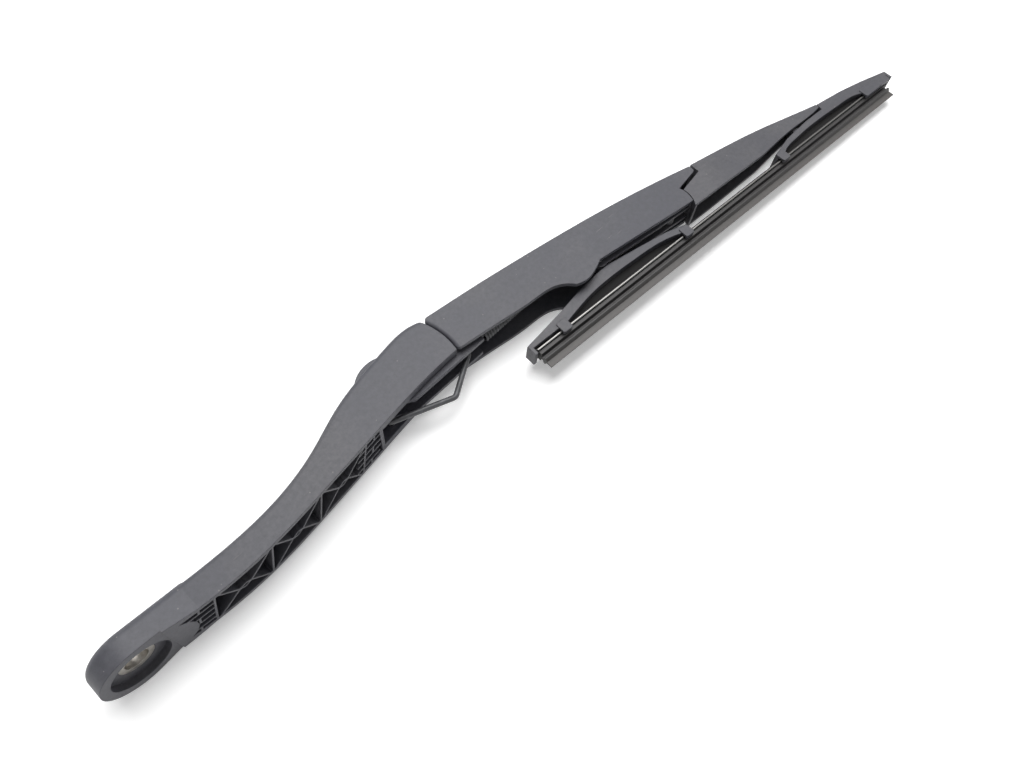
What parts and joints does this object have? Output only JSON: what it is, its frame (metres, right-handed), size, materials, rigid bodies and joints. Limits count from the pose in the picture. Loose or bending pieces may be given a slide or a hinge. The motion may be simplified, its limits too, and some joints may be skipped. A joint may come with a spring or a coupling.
{
  "type": "rear wiper arm with blade",
  "caption": "Hinged rear window wiper arm: ribbed plastic head with spindle bore, sprung channel arm, and a blade with bridge, claw yokes and wiping rubber.",
  "frame": {"origin": "on the spindle axis, at the glass-side face of the metal insert in the boss", "axes": "+X from the spindle along the arm to the blade's tip, +Y away from the window, +Z across the arm, upwards when the wiper is parked"},
  "size_m": [0.5331, 0.0856, 0.0338],
  "materials": {
    "satin_plastic": "satin dark grey moulded plastic with a fine grain",
    "blade_plastic": "satin black moulded plastic",
    "insert_metal": "machined zinc alloy",
    "pin_steel": "drawn steel",
    "dark_wire": "black coated spring wire",
    "strip_steel": "rolled spring steel",
    "wiping_rubber": "matte black rubber, dusty at the lip"
  },
  "bodies": {
    "head": {"mounting_head": "satin_plastic", "spindle_insert": "insert_metal", "hinge_pin": "pin_steel", "spring_anchor_pin": "pin_steel"},
    "arm": {"arm": "satin_plastic", "spring_end_pin": "pin_steel", "blade_pivot_pin": "pin_steel", "tension_spring": "dark_wire"},
    "hook": {"spring_hook": "dark_wire"},
    "bridge": {"bridge": "blade_plastic", "blade_adapter": "blade_plastic", "inner_yoke_pin": "pin_steel", "outer_yoke_pin": "pin_steel", "rubber": "wiping_rubber", "upper_flexor": "strip_steel", "lower_flexor": "strip_steel"},
    "inner_yoke": {"inner_yoke": "blade_plastic"},
    "outer_yoke": {"outer_yoke": "blade_plastic"}
  },
  "joints": [
    {"name": "arm_hinge", "type": "hinge", "parent": "head", "child": "arm", "pos_m": [0.143, 0.0135, 0], "axis": [0, 0, 1], "range_deg": [0, 50], "stiffness_Nm_per_rad": 1, "springref_deg": -51.57, "deforming": ["tension_spring"]},
    {"name": "hook_swing", "type": "hinge", "parent": "head", "child": "hook", "pos_m": [0.1385, 0.006, 0], "axis": [0, 0, 1], "range_deg": [0, 48]},
    {"name": "blade_pivot", "type": "hinge", "parent": "arm", "child": "bridge", "pos_m": [0.326, -0.013, 0], "axis": [0, 0, 1], "range_deg": [-8, 1]},
    {"name": "inner_yoke_rock", "type": "hinge", "parent": "bridge", "child": "inner_yoke", "pos_m": [0.27245, -0.00761, 0], "axis": [0, 0, 1], "range_deg": [-4, 4], "deforming": ["rubber", "upper_flexor", "lower_flexor"]},
    {"name": "outer_yoke_rock", "type": "hinge", "parent": "bridge", "child": "outer_yoke", "pos_m": [0.43241, -0.02666, 0], "axis": [0, 0, 1], "range_deg": [-4, 4], "deforming": ["rubber", "upper_flexor", "lower_flexor"]}
  ],
  "couplings": [
    {"joint": "hook_swing", "follows": "arm_hinge", "ratio": 0.94}
  ]
}
